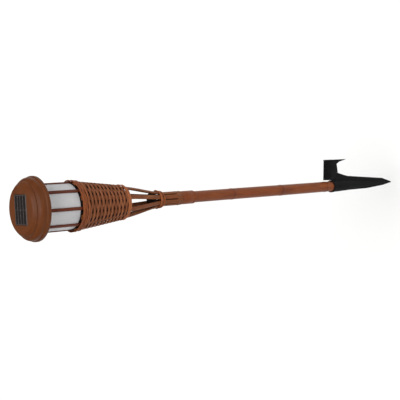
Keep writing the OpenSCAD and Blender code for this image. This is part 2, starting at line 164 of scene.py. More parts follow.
def finish(name, values):
    # common build: broad colour drift times fine grain or fibres, relief and gloss from the grain
    material = bpy.data.materials.new(name)
    material.use_nodes = True
    tree = material.node_tree
    shader = tree.nodes["Principled BSDF"]
    for key, value in values.get("shader", {}).items():
        shader.inputs[key].default_value = value
    place = addNode(tree, "ShaderNodeTexCoord").outputs["Object"]
    rampLow, rampSpan = 0.34, 0.32  # most of the noise falls between these two
    layers = []
    for patchMm, detail, tones in ((values["driftMm"], 2.0, values["colours"]),
                                   (values["grainMm"], 4.0, values["grainTones"])):
        spread = addNode(tree, "ShaderNodeMapping", {"Scale": [1000 / size for size in patchMm]},
                         {"Vector": place})
        cloud = addNode(tree, "ShaderNodeTexNoise", {"Scale": 1.0, "Detail": detail, "Roughness": 0.55},
                        {"Vector": spread.outputs["Vector"]})
        stops = [(rampLow + rampSpan * i / (len(tones) - 1), tone) for i, tone in enumerate(tones)]
        ramp = addNode(tree, "ShaderNodeValToRGB", {"stops": stops}, {"Fac": cloud.outputs[0]})
        layers.append(ramp.outputs["Color"])
    if "knotsMm" in values:
        # dark scar and pale bloom at each knot, by height
        first, pitch = values["knotsMm"]
        height = addNode(tree, "ShaderNodeSeparateXYZ", {}, {"Vector": place}).outputs["Z"]
        turns = addNode(tree, "ShaderNodeMath", {
            "operation": "MULTIPLY_ADD", 1: 1000 / pitch, 2: 0.5 - first / pitch}, {0: height})
        share = addNode(tree, "ShaderNodeMath", {"operation": "FRACT"}, {0: turns.outputs[0]})
        stops = [(0.5 + offset / pitch, tone) for offset, tone in values["knotBand"]]
        ramp = addNode(tree, "ShaderNodeValToRGB", {"stops": stops}, {"Fac": share.outputs[0]})
        layers.append(ramp.outputs["Color"])
    if "strandTones" in values:
        # each woven strand has a tone of its own
        tone = addNode(tree, "ShaderNodeAttribute", {"attribute_name": "strandTone"}).outputs["Fac"]
        stops = list(enumerate(values["strandTones"]))
        ramp = addNode(tree, "ShaderNodeValToRGB", {"stops": stops}, {"Fac": tone})
        layers.append(ramp.outputs["Color"])
    colour = layers[0]
    for layer in layers[1:]:
        colour = addNode(tree, "ShaderNodeMix", {"data_type": "RGBA", "blend_type": "MULTIPLY", 0: 1.0},
                         {6: colour, 7: layer}).outputs[2]
    rough = addNode(tree, "ShaderNodeMapRange", {
        "From Min": 0.3, "From Max": 0.7,
        "To Min": values["roughness"][0], "To Max": values["roughness"][1]},
        {"Value": cloud.outputs[0]})
    bump = addNode(tree, "ShaderNodeBump", {
        "Strength": 1.0, "Distance": values["reliefMm"] * mm}, {"Height": cloud.outputs[0]})
    tree.links.new(colour, shader.inputs["Base Color"])
    tree.links.new(rough.outputs["Result"], shader.inputs["Roughness"])
    tree.links.new(bump.outputs["Normal"], shader.inputs["Normal"])
    return material


materials = {
    # Bamboo cane, stained and lacquered: satin streaks up the pole with soft long highlights
    "bamboo_pole": finish("stainedBambooCane", {
        "colours": ["#763912", "#854317", "#7c3c15", "#8c491b"], "driftMm": (30, 30, 170),
        "grainMm": (1.3, 1.3, 90), "grainTones": ["#c9bdb4", "#ffffff", "#eadfd6"],
        "roughness": (0.34, 0.5), "reliefMm": 0.05, "knotsMm": (28, 212),
        "knotBand": [(-30, "#ffffff"), (-9, "#faf5f0"), (-3, "#f1e8e2"), (-0.8, "#b9a79c"),
                     (0.6, "#c0b0a6"), (2.5, "#fdf8f3"), (9, "#f5efe9"), (26, "#ffffff")],
        "shader": {"Specular IOR Level": 0.2}}),
    # Split bamboo, same stain on sawn strips: browner, with drier edges
    "bamboo_staves": finish("splitBamboo", {
        "colours": ["#744122", "#854b28", "#7b4523", "#8d552f"], "driftMm": (16, 16, 120),
        "grainMm": (1.1, 1.1, 60), "grainTones": ["#b9aca3", "#ffffff", "#e2d6cd"],
        "roughness": (0.4, 0.6), "reliefMm": 0.06,
        "shader": {"Specular IOR Level": 0.15}}),
    # Cane strips, stained and woven damp: matt fibres round the basket, tone changes strip by strip
    "cane_weave": finish("stainedCane", {
        "colours": ["#905839", "#a36642", "#985d3c"], "driftMm": (34, 34, 9),
        "grainMm": (26, 26, 0.8), "grainTones": ["#b5a79d", "#ffffff", "#dfd2c8"],
        "strandTones": ["#cdbfb6", "#ffffff"],
        "roughness": (0.5, 0.7), "reliefMm": 0.12, "shader": {"Specular IOR Level": 0.15}}),
    # Softwood stained nearly black, end grain and turned side, dull; the near black is partly painted
    # shade for the dark seen between the strips above the neck tie
    "plug_wood": finish("nearBlackPineWithPaintedShade", {
        "colours": ["#150c08", "#1f130c"], "driftMm": (9, 9, 60), "grainMm": (0.9, 0.9, 24),
        "grainTones": ["#a89c94", "#ffffff"], "roughness": (0.6, 0.8), "reliefMm": 0.08,
        "shader": {"Specular IOR Level": 0.2}}),
    # Thin moulded polypropylene, near black: painted shade, a dark liner and seat ring put where the
    # inside of the basket and the gap under the diffuser lie in shade
    "liner_black": finish("paintedShadeBlackPolypropylene", {
        "colours": ["#17100d", "#1e1613"], "driftMm": (30, 30, 30), "grainMm": (0.9, 0.9, 0.9),
        "grainTones": ["#d0d0d0", "#ffffff"], "roughness": (0.6, 0.75), "reliefMm": 0.04,
        "shader": {"Specular IOR Level": 0.2}}),
    # Steel tack heads under the same brown stain, small soft glints
    "tack_brown": finish("stainedTackHeads", {
        "colours": ["#5c3521", "#744731"], "driftMm": (3, 3, 3), "grainMm": (0.6, 0.6, 0.6),
        "grainTones": ["#cfc6c0", "#ffffff"], "roughness": (0.35, 0.5), "reliefMm": 0.02}),
    # Injection-moulded polypropylene, spark-eroded satin: broad soft sheen, faint dust in the texture
    "cap_brown": finish("satinBrownPolypropylene", {
        "colours": ["#603317", "#6a3a1b", "#653719"], "driftMm": (60, 60, 30),
        "grainMm": (0.7, 0.7, 0.7), "grainTones": ["#e9e3df", "#ffffff"],
        "roughness": (0.4, 0.52), "reliefMm": 0.035, "shader": {"Specular IOR Level": 0.14}}),
    # Same polypropylene on the cage, a little redder
    "cage_brown": finish("satinRedBrownPolypropylene", {
        "colours": ["#612b16", "#69301a"], "driftMm": (30, 30, 60), "grainMm": (0.7, 0.7, 0.7),
        "grainTones": ["#e9e3df", "#ffffff"], "roughness": (0.4, 0.52), "reliefMm": 0.03,
        "shader": {"Specular IOR Level": 0.2}}),
    # Milky polypropylene, sandblasted inside: even soft white that lets a little light through
    "diffuser_frosted": finish("frostedPolypropylene", {
        "colours": ["#c4c4c7", "#cecdcf"], "driftMm": (40, 40, 80), "grainMm": (1.4, 1.4, 1.4),
        "grainTones": ["#f4f3f2", "#ffffff"], "roughness": (0.4, 0.5), "reliefMm": 0.02,
        "shader": {"Subsurface Weight": 0.25, "Subsurface Radius": (1.0, 1.0, 1.0),
                   "Subsurface Scale": 3 * mm}}),
    # Black polypropylene, moulded with a fine grain: grey sheen on flat plates, scuffs along the fins
    "spike_black": finish("blackPolypropylene", {
        "colours": ["#131314", "#19191a"], "driftMm": (18, 18, 90), "grainMm": (0.8, 0.8, 1.6),
        "grainTones": ["#d4d4d4", "#ffffff"], "roughness": (0.55, 0.7), "reliefMm": 0.05,
        "shader": {"Specular IOR Level": 0.06}}),
    # Zinc-plated steel screws: clear metal with a faint passivation cloud
    "screw_steel": finish("zincPlatedSteel", {
        "colours": ["#a9abad", "#b9bbbb"], "driftMm": (2, 2, 2), "grainMm": (0.3, 0.3, 0.3),
        "grainTones": ["#e2e2e2", "#ffffff"], "roughness": (0.25, 0.4), "reliefMm": 0.01,
        "shader": {"Metallic": 1.0}}),
    # Closed-cell foam tape: dull dark grey with open pores at its cut edge
    "gasket_foam": finish("closedCellFoam", {
        "colours": ["#2a2a2a", "#343434"], "driftMm": (8, 8, 8), "grainMm": (0.5, 0.5, 0.5),
        "grainTones": ["#9a9a9a", "#ffffff"], "roughness": (0.85, 0.95), "reliefMm": 0.12}),
    # ABS in off-white, lightly polished mould: clean, with a slow satin sheen
    "module_white": finish("offWhiteAbs", {
        "colours": ["#d6d6d1", "#dededa"], "driftMm": (25, 25, 25), "grainMm": (0.9, 0.9, 0.9),
        "grainTones": ["#f0f0ee", "#ffffff"], "roughness": (0.35, 0.45), "reliefMm": 0.02}),
    # Glass-epoxy board under green solder mask: glossy with the weave just showing
    "board_green": finish("solderMaskedBoard", {
        "colours": ["#235a31", "#2f6e3e"], "driftMm": (6, 3, 6), "grainMm": (0.6, 0.6, 0.6),
        "grainTones": ["#dcdcdc", "#ffffff"], "roughness": (0.2, 0.3), "reliefMm": 0.02}),
    # Epoxy-moulded component bodies: dull black, fine filler grain
    "part_black": finish("epoxyMouldedBodies", {
        "colours": ["#232427", "#2b2c30"], "driftMm": (4, 4, 4), "grainMm": (0.4, 0.4, 0.4),
        "grainTones": ["#cfcfcf", "#ffffff"], "roughness": (0.5, 0.65), "reliefMm": 0.02}),
    # Cast epoxy lens, milky: smooth, wet-looking dome
    "led_epoxy": finish("milkyCastEpoxy", {
        "colours": ["#eff0ea", "#f6f6f1"], "driftMm": (3, 3, 3), "grainMm": (0.8, 0.8, 0.8),
        "grainTones": ["#f6f6f6", "#ffffff"], "roughness": (0.08, 0.14), "reliefMm": 0.004}),
    # Nickel-plated spring steel: bright, with fine drawn lines
    "contact_metal": finish("nickelPlatedSteel", {
        "colours": ["#c2c1bd", "#d0cfcb"], "driftMm": (3, 3, 3), "grainMm": (2.5, 0.15, 2.5),
        "grainTones": ["#e6e6e6", "#ffffff"], "roughness": (0.16, 0.28), "reliefMm": 0.006,
        "shader": {"Metallic": 1.0}}),
    # Polished white ABS: mirror-smooth for throwing light down
    "reflector_white": finish("polishedWhiteAbs", {
        "colours": ["#ecece8", "#f2f2ee"], "driftMm": (12, 12, 12), "grainMm": (1.5, 1.5, 1.5),
        "grainTones": ["#f7f7f7", "#ffffff"], "roughness": (0.12, 0.2), "reliefMm": 0.008}),
    # Shrink sleeve on the cell: thin glossy film, slightly rippled
    "cell_wrap": finish("plainShrinkSleeve", {
        "colours": ["#4a7a50", "#558659"], "driftMm": (14, 6, 6), "grainMm": (9, 1.6, 1.6),
        "grainTones": ["#efefef", "#ffffff"], "roughness": (0.18, 0.28), "reliefMm": 0.03}),
    # PVC insulation on the leads: soft, slightly waxy
    "lead_red": finish("redPvcInsulation", {
        "colours": ["#961f1f", "#a82828"], "driftMm": (5, 5, 5), "grainMm": (0.6, 0.6, 0.6),
        "grainTones": ["#e6e6e6", "#ffffff"], "roughness": (0.4, 0.5), "reliefMm": 0.01}),
    "lead_black": finish("blackPvcInsulation", {
        "colours": ["#1d1d1d", "#272727"], "driftMm": (5, 5, 5), "grainMm": (0.6, 0.6, 0.6),
        "grainTones": ["#e0e0e0", "#ffffff"], "roughness": (0.4, 0.5), "reliefMm": 0.01}),
    # Glass-filled nylon housing: dull, with fibres just under the skin
    "switch_black": finish("glassFilledNylon", {
        "colours": ["#303236", "#393b40"], "driftMm": (5, 5, 5), "grainMm": (0.9, 0.3, 0.3),
        "grainTones": ["#cfcfcf", "#ffffff"], "roughness": (0.55, 0.7), "reliefMm": 0.02}),
    # Acetal slider: hard white with a soapy sheen
    "knob_white": finish("whiteAcetal", {
        "colours": ["#e3e3df", "#ebebe8"], "driftMm": (3, 3, 3), "grainMm": (0.5, 0.5, 0.5),
        "grainTones": ["#f0f0f0", "#ffffff"], "roughness": (0.3, 0.4), "reliefMm": 0.01}),
    # Polycrystalline silicon under clear epoxy: dark blue-brown flakes below a glossy skin
    "solar_cell": finish("resinCoveredSilicon", {
        "colours": ["#110909", "#1a100e", "#140e10"], "driftMm": (4, 4, 4),
        "grainMm": (1.2, 1.2, 1.2), "grainTones": ["#b8b8c0", "#ffffff"],
        "roughness": (0.16, 0.24), "reliefMm": 0.004,
        "shader": {"Specular IOR Level": 0.2, "Coat Weight": 0.25, "Coat Roughness": 0.1}}),
}
# Thicker cane at the borders and the tie: same stain, a little lighter and redder than the weave; the
# lift is painted light against the shade the close rows cast on one another
borderCaneWithPaintedLight = finish("stainedBorderCaneWithPaintedLight", {
    "colours": ["#a3603a", "#b87044", "#ab663e"], "driftMm": (30, 30, 8),
    "grainMm": (24, 24, 0.8), "grainTones": ["#b5a79d", "#ffffff", "#dfd2c8"],
    "strandTones": ["#cbbcb2", "#ffffff"],
    "roughness": (0.5, 0.7), "reliefMm": 0.12, "shader": {"Specular IOR Level": 0.15}})
# Silver paste printed on the cells: thin pale lines, dull
silverPaste = finish("printedSilverPaste", {
    "colours": ["#7d7876", "#908a87"], "driftMm": (6, 6, 6), "grainMm": (0.4, 0.4, 0.4),
    "grainTones": ["#d8d8d8", "#ffffff"], "roughness": (0.4, 0.5), "reliefMm": 0.01,
    "shader": {"Metallic": 0.6}})
# Polyester backing that shows between the cells: grey-brown, under the same resin
backSheet = finish("polyesterBackSheet", {
    "colours": ["#382e2a", "#433732"], "driftMm": (12, 12, 12), "grainMm": (0.6, 0.6, 0.6),
    "grainTones": ["#dddddd", "#ffffff"], "roughness": (0.3, 0.4), "reliefMm": 0.01})
print("materials made")


def meshObject(name, shape, slotName, sharpDeg=35, material=None):
    # closes a bmesh into an object with outward faces, smooth but for its sharp edges
    bmesh.ops.remove_doubles(shape, verts=shape.verts, dist=weldGap)
    bmesh.ops.recalc_face_normals(shape, faces=shape.faces)
    mesh = bpy.data.meshes.new(name)
    shape.to_mesh(mesh)
    shape.free()
    mesh.shade_smooth()
    mesh.set_sharp_from_angle(angle=math.radians(sharpDeg))
    mesh.materials.append(material or materials[slotName])
    return keep(bpy.data.objects.new(name, mesh))


def sweep(shape, rings, closedRound=True, capEnds=True):
    # quads between neighbouring rings of points, with a cap on each end
    rows = [[shape.verts.new(p) for p in ring] for ring in rings]
    count = len(rows[0])
    for low, high in zip(rows, rows[1:]):
        for i in range(count if closedRound else count - 1):
            j = (i + 1) % count
            shape.faces.new((low[i], low[j], high[j], high[i]))
    if capEnds:
        shape.faces.new(list(reversed(rows[0])))
        shape.faces.new(rows[-1])
    return rows


def turned(shape, outline, segments=128, wobble=None):
    # revolves a closed outline of (radius, height) points about Z
    def ring(r, z):
        points = []
        for i in range(segments):
            a = 2 * math.pi * i / segments
            reach = r + (wobble(a, z) if wobble else 0)
            points.append((reach * math.cos(a), reach * math.sin(a), z))
        return points

    rings = [ring(r, z) for r, z in outline]
    closed = outline[0][0] > 0
    sweep(shape, rings + ([rings[0]] if closed else []), capEnds=False)


def arcPoints(cr, cz, r, startDeg, endDeg, steps):
    angles = [math.radians(startDeg + (endDeg - startDeg) * i / steps) for i in range(steps + 1)]
    return [(cr + r * math.cos(a), cz + r * math.sin(a)) for a in angles]


def roundedOutline(inner, outer, low, high, r):
    # ring section with its four corners rounded
    return (arcPoints(outer - r, low + r, r, -90, 0, 4) + arcPoints(outer - r, high - r, r, 0, 90, 4)
            + arcPoints(inner + r, high - r, r, 90, 180, 4)
            + arcPoints(inner + r, low + r, r, 180, 270, 4))


def growTree(name, inputs):
    tree = bpy.data.node_groups.new(name, "GeometryNodeTree")
    for label, kind in inputs:
        tree.interface.new_socket(label, in_out="INPUT", socket_type=kind)
    tree.interface.new_socket("Geometry", in_out="OUTPUT", socket_type="NodeSocketGeometry")
    return tree, addNode(tree, "NodeGroupInput").outputs


def closeTree(tree, geometry, entry):
    whole = addNode(tree, "GeometryNodeRealizeInstances", {}, {"Geometry": geometry})
    painted = addNode(tree, "GeometryNodeSetMaterial", {}, {
        "Geometry": whole.outputs["Geometry"], "Material": entry["Material"]})
    addNode(tree, "NodeGroupOutput", {}, {"Geometry": painted.outputs["Geometry"]})


def grown(name, tree, values, start=None):
    # runs a node tree on a start mesh and keeps the result as a plain mesh
    obj = start or keep(bpy.data.objects.new(name, bpy.data.meshes.new(name)))
    obj.name = name
    modifier = obj.modifiers.new("grow", "NODES")
    modifier.node_group = tree
    for item in tree.interface.items_tree:
        if item.in_out == "INPUT" and item.name in values:
            modifier[item.identifier] = values[item.name]
    graph = bpy.context.evaluated_depsgraph_get()
    mesh = bpy.data.meshes.new_from_object(obj.evaluated_get(graph), depsgraph=graph)
    obj.modifiers.clear()
    obj.data = mesh
    mesh.name = name
    return obj


def ringTree():
    # copies the start mesh round Z, each turned a little off its place
    tree, entry = growTree("ringOfCopies", [
        ("Geometry", "NodeSocketGeometry"), ("Count", "NodeSocketInt"), ("Turn", "NodeSocketFloat"),
        ("Looseness", "NodeSocketFloat"), ("Seed", "NodeSocketInt"),
        ("Material", "NodeSocketMaterial")])
    points = addNode(tree, "GeometryNodeMeshLine", {"mode": "OFFSET", "Offset": (0, 0, 0)},
                     {"Count": entry["Count"]})
    index = addNode(tree, "GeometryNodeInputIndex").outputs[0]
    step = addNode(tree, "ShaderNodeMath", {"operation": "DIVIDE", 0: 2 * math.pi},
                   {1: entry["Count"]})
    angle = addNode(tree, "ShaderNodeMath", {"operation": "MULTIPLY_ADD"},
                    {0: index, 1: step.outputs[0], 2: entry["Turn"]})
    stray = addNode(tree, "FunctionNodeRandomValue", {"data_type": "FLOAT", 2: -1.0, 3: 1.0},
                    {"ID": index, "Seed": entry["Seed"]})
    off = addNode(tree, "ShaderNodeMath", {"operation": "MULTIPLY_ADD"},
                  {0: stray.outputs[1], 1: entry["Looseness"], 2: angle.outputs[0]})
    turn = addNode(tree, "ShaderNodeCombineXYZ", {}, {"Z": off.outputs[0]})
    copies = addNode(tree, "GeometryNodeInstanceOnPoints", {}, {
        "Points": points.outputs["Mesh"], "Instance": entry["Geometry"],
        "Rotation": turn.outputs["Vector"]})
    closeTree(tree, copies.outputs["Instances"], entry)
    return tree


def gridTree():
    # copies the start mesh over a flat grid
    tree, entry = growTree("gridOfCopies", [
        ("Geometry", "NodeSocketGeometry"), ("Count X", "NodeSocketInt"),
        ("Count Y", "NodeSocketInt"), ("Pitch X", "NodeSocketFloat"),
        ("Pitch Y", "NodeSocketFloat"), ("Material", "NodeSocketMaterial")])
    spans = []
    for axis in ("X", "Y"):
        gaps = addNode(tree, "ShaderNodeMath", {"operation": "SUBTRACT", 1: 1.0},
                       {0: entry["Count " + axis]})
        spans.append(addNode(tree, "ShaderNodeMath", {"operation": "MULTIPLY"}, {
            0: gaps.outputs[0], 1: entry["Pitch " + axis]}).outputs[0])
    grid = addNode(tree, "GeometryNodeMeshGrid", {}, {
        "Size X": spans[0], "Size Y": spans[1],
        "Vertices X": entry["Count X"], "Vertices Y": entry["Count Y"]})
    copies = addNode(tree, "GeometryNodeInstanceOnPoints", {}, {
        "Points": grid.outputs["Mesh"], "Instance": entry["Geometry"]})
    closeTree(tree, copies.outputs["Instances"], entry)
    return tree


def strandTree():
    # level rows of cane round a cone, each passing in and out as it goes
    tree, entry = growTree("strandRows", [
        ("Rows", "NodeSocketInt"), ("Low Z", "NodeSocketFloat"), ("Row Pitch", "NodeSocketFloat"),
        ("Low Radius", "NodeSocketFloat"), ("Cone", "NodeSocketFloat"),
        ("Swing", "NodeSocketFloat"), ("Waves", "NodeSocketFloat"), ("Turn", "NodeSocketFloat"),
        ("Slant", "NodeSocketFloat"), ("Slant Turn", "NodeSocketFloat"),
        ("Unevenness", "NodeSocketFloat"),
        ("Strand Height", "NodeSocketFloat"), ("Strand Thickness", "NodeSocketFloat"),
        ("Steps", "NodeSocketInt"), ("Seed", "NodeSocketInt"),
        ("Material", "NodeSocketMaterial")])

    rows = addNode(tree, "GeometryNodeMeshLine", {"mode": "OFFSET", "Offset": (0, 0, 1)},
                   {"Count": entry["Rows"]})
    circle = addNode(tree, "GeometryNodeCurvePrimitiveCircle", {"mode": "RADIUS", "Radius": 1.0},
                     {"Resolution": entry["Steps"]})
    # the seam of every circle is turned to the back
    about = addNode(tree, "GeometryNodeTransform", {"Rotation": (0, 0, math.radians(80))},
                    {"Geometry": circle.outputs["Curve"]})
    copies = addNode(tree, "GeometryNodeInstanceOnPoints", {}, {
        "Points": rows.outputs["Mesh"], "Instance": about.outputs["Geometry"]})
    curves = addNode(tree, "GeometryNodeRealizeInstances", {},
                     {"Geometry": copies.outputs["Instances"]}).outputs["Geometry"]
    position = addNode(tree, "GeometryNodeInputPosition").outputs[0]
    part = addNode(tree, "ShaderNodeSeparateXYZ", {}, {"Vector": position}).outputs
    known = {"x": part["X"], "y": part["Y"], "z": part["Z"]}
    known.update({label: entry[label] for label in (
        "Seed", "Turn", "Waves", "Row Pitch", "Low Z", "Low Radius", "Cone", "Swing", "Slant",
        "Slant Turn", "Unevenness")})

    def workOut(formula):
        # each line names a value, its operation and what it takes: numbers or earlier values
        for label, operation, *terms in formula:
            fixed = {i: term for i, term in enumerate(terms) if not isinstance(term, str)}
            wired = {i: known[term] for i, term in enumerate(terms) if isinstance(term, str)}
            known[label] = addNode(tree, "ShaderNodeMath", {"operation": operation, **fixed},
                                   wired).outputs[0]

    workOut([
        ("row", "ROUND", "z"),
        ("angle", "ARCTAN2", "y", "x"),
        ("odd", "MODULO", "row", 2.0),
        ("side", "MULTIPLY_ADD", "odd", -2.0, 1.0),
        ("turned", "SUBTRACT", "angle", "Turn"),
        ("phase", "MULTIPLY", "turned", "Waves"),
        ("swingWave", "COSINE", "phase"),
        ("wave", "MULTIPLY", "side", "swingWave"),
        # hugs the stave, then crosses: wave * (1.5 - wave * wave / 2)
        ("square", "MULTIPLY", "wave", "wave"),
        ("ease", "MULTIPLY_ADD", "square", -0.5, 1.5),
        ("hug", "MULTIPLY", "wave", "ease"),
        ("rise", "MULTIPLY", "row", "Row Pitch"),
        ("floor", "ADD", "rise", "Low Z"),
        ("base", "MULTIPLY_ADD", "rise", "Cone", "Low Radius"),
        # the noise runs round the axis, so it meets itself
        ("noiseX", "MULTIPLY", "x", 3.0),
        ("noiseY", "MULTIPLY", "y", 3.0),
        ("noiseZ", "MULTIPLY_ADD", "row", 7.3, "Seed"),
        ("cos", "COSINE", "angle"),
        ("sin", "SINE", "angle"),
        ("rowTurn", "MULTIPLY_ADD", "row", "Slant Turn", "angle"),
        ("tilt", "SINE", "rowTurn")])
    around = addNode(tree, "ShaderNodeCombineXYZ", {}, {
        "X": known["noiseX"], "Y": known["noiseY"], "Z": known["noiseZ"]})
    known["noise"] = addNode(tree, "ShaderNodeTexNoise", {"Scale": 1.0, "Detail": 2.0},
                             {"Vector": around.outputs["Vector"]}).outputs[0]
    workOut([
        ("stray", "SUBTRACT", "noise", 0.5),
        ("strayHalf", "MULTIPLY", "stray", 0.5),
        ("swung", "MULTIPLY_ADD", "hug", "Swing", "base"),
        ("radius", "MULTIPLY_ADD", "strayHalf", "Unevenness", "swung"),
        ("lift", "MULTIPLY_ADD", "tilt", "Slant", "floor"),
        ("height", "MULTIPLY_ADD", "stray", "Unevenness", "lift"),
        ("goalX", "MULTIPLY", "radius", "cos"),
        ("goalY", "MULTIPLY", "radius", "sin")])
    tone = addNode(tree, "FunctionNodeRandomValue", {"data_type": "FLOAT", 2: 0.0, 3: 1.0},
                   {"ID": known["row"], "Seed": entry["Seed"]})
    toned = addNode(tree, "GeometryNodeStoreNamedAttribute", {
        "data_type": "FLOAT", "domain": "POINT", "Name": "strandTone"},
        {"Geometry": curves, "Value": tone.outputs[1]})
    target = addNode(tree, "ShaderNodeCombineXYZ", {}, {
        "X": known["goalX"], "Y": known["goalY"], "Z": known["height"]})
    placed = addNode(tree, "GeometryNodeSetPosition", {}, {
        "Geometry": toned.outputs["Geometry"], "Position": target.outputs["Vector"]})
    upright = addNode(tree, "GeometryNodeSetCurveNormal", {"mode": "Z_UP"},
                      {"Curve": placed.outputs["Geometry"]})
    section = addNode(tree, "GeometryNodeCurvePrimitiveCircle", {
        "mode": "RADIUS", "Radius": 0.5, "Resolution": 10})
    size = addNode(tree, "ShaderNodeCombineXYZ", {"Z": 1.0}, {
        "X": entry["Strand Thickness"], "Y": entry["Strand Height"]})
    oval = addNode(tree, "GeometryNodeTransform", {}, {
        "Geometry": section.outputs["Curve"], "Scale": size.outputs["Vector"]})
    tube = addNode(tree, "GeometryNodeCurveToMesh", {}, {
        "Curve": upright.outputs["Curve"], "Profile Curve": oval.outputs["Geometry"]})
    smooth = addNode(tree, "GeometryNodeSetShadeSmooth", {}, {"Geometry": tube.outputs["Mesh"]})
    closeTree(tree, smooth.outputs["Geometry"], entry)
    return tree


copiesRound, copiesGrid, strandRows = ringTree(), gridTree(), strandTree()
print("node trees built")


def settle(piece, body, nodeName):
    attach(piece, body)
    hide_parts(nodeName)


def addPole():
    cane = {
        "wall": 4.5 * mm, "ridge": 1.0 * mm, "scar": 0.35 * mm, "firstKnot": 28 * mm,
        "knotPitch": 212 * mm, "knots": 3, "lobes": 0.14 * mm,
    }
    low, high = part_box("pole")
    knotAt = [cane["firstKnot"] + i * cane["knotPitch"] for i in range(cane["knots"])]
    radius = (high.x - low.x) / 2 - cane["ridge"]

    def swell(z):
        total = 0
        for k in knotAt:
            d = (z - k) / mm
            total += cane["ridge"] * 0.75 * math.exp(-(d - 2.5) ** 2 / 8)  # ridge above the scar
            total += cane["ridge"] * 0.5 * math.exp(-(d + 3.5) ** 2 / 14)
            total -= cane["scar"] * math.exp(-d ** 2 / 0.5)
        return total

    def wobble(a, z):
        return cane["lobes"] * (math.sin(2 * a + 9 * z) + 0.6 * math.sin(3 * a - 14 * z + 1))

    heights = {round(low.z + 8 * mm * i, 6) for i in range(int((high.z - low.z) / (8 * mm)) + 1)}
    for k in knotAt:
        heights |= {round(k + 0.5 * mm * i, 6) for i in range(-24, 25)}
    heights = sorted(h for h in heights if h < high.z - mm) + [high.z]
    outline = [(radius + swell(z), z) for z in heights]
    inner = [(radius - cane["wall"], z) for z in (high.z, (low.z + high.z) / 2, low.z)]
    shape = bmesh.new()
    turned(shape, outline + inner, 72,
           lambda a, z: wobble(a, z) if abs(z - high.z) > mm else 0)
    settle(meshObject("bambooPole", shape, "bamboo_pole", 50), "stand", "pole")


def addCoupler():
    sleeve = {"bevel": 1.3 * mm, "groove": 0.35 * mm, "grooveRise": 0.8 * mm, "play": 0.4 * mm,
              "grooveFromFoot": 9 * mm, "groovesFromTop": (10 * mm, 5 * mm), "lobes": 0.1 * mm}
    low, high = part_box("pole_coupler")
    r, bore = (high.x - low.x) / 2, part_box("neck_plug")[1].x + sleeve["play"]
    b, g = sleeve["bevel"], sleeve["groove"]
    outline = [(bore, low.z), (r - b * 2, low.z)] + arcPoints(r - b, low.z + b, b, -70, 0, 5)
    for z in (low.z + sleeve["grooveFromFoot"],
              *(high.z - down for down in sleeve["groovesFromTop"])):
        outline += [(r, z - sleeve["grooveRise"]), (r - g, z), (r, z + sleeve["grooveRise"])]
    outline += arcPoints(r - b, high.z - b, b, 0, 90, 5) + [(bore, high.z)]
    shape = bmesh.new()
    turned(shape, outline, 96, lambda a, z: sleeve["lobes"] * math.sin(2 * a + 20 * z))
    settle(meshObject("poleCoupler", shape, "bamboo_pole", 40), "stand",
           "pole_coupler")


addPole()
addCoupler()
print("pole made")


basket = {
    "count": 8, "staveTurn": math.radians(19.5), "ribTurn": math.radians(-4.6),
    "staveWidth": 12.4 * mm, "staveThick": 3.2 * mm, "neckRadius": 20.5 * mm,
    "footRadius": 46.1 * mm, "rimRadius": 66.9 * mm, "flareStart": 0.1,
    "unsplit": 18 * mm, "neckAbove": 44 * mm,
}
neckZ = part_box("split_bamboo")[0].z
slitZ = neckZ + basket["unsplit"]
flareZ = slitZ + basket["neckAbove"]
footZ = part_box("foot_binding")[0].z
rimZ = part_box("rim_binding")[1].z
cone = (basket["rimRadius"] - basket["footRadius"]) / (rimZ - footZ)


def staveRadius(z):
    if z <= flareZ:
        return basket["neckRadius"]
    if z >= footZ:
        return basket["footRadius"] + (z - footZ) * cone
    span = footZ - flareZ
    t = (z - flareZ) / span
    return (basket["neckRadius"] * (2 * t ** 3 - 3 * t ** 2 + 1)
            + basket["flareStart"] * span * (t ** 3 - 2 * t ** 2 + t)
            + basket["footRadius"] * (3 * t ** 2 - 2 * t ** 3)
            + cone * span * (t ** 3 - t ** 2))


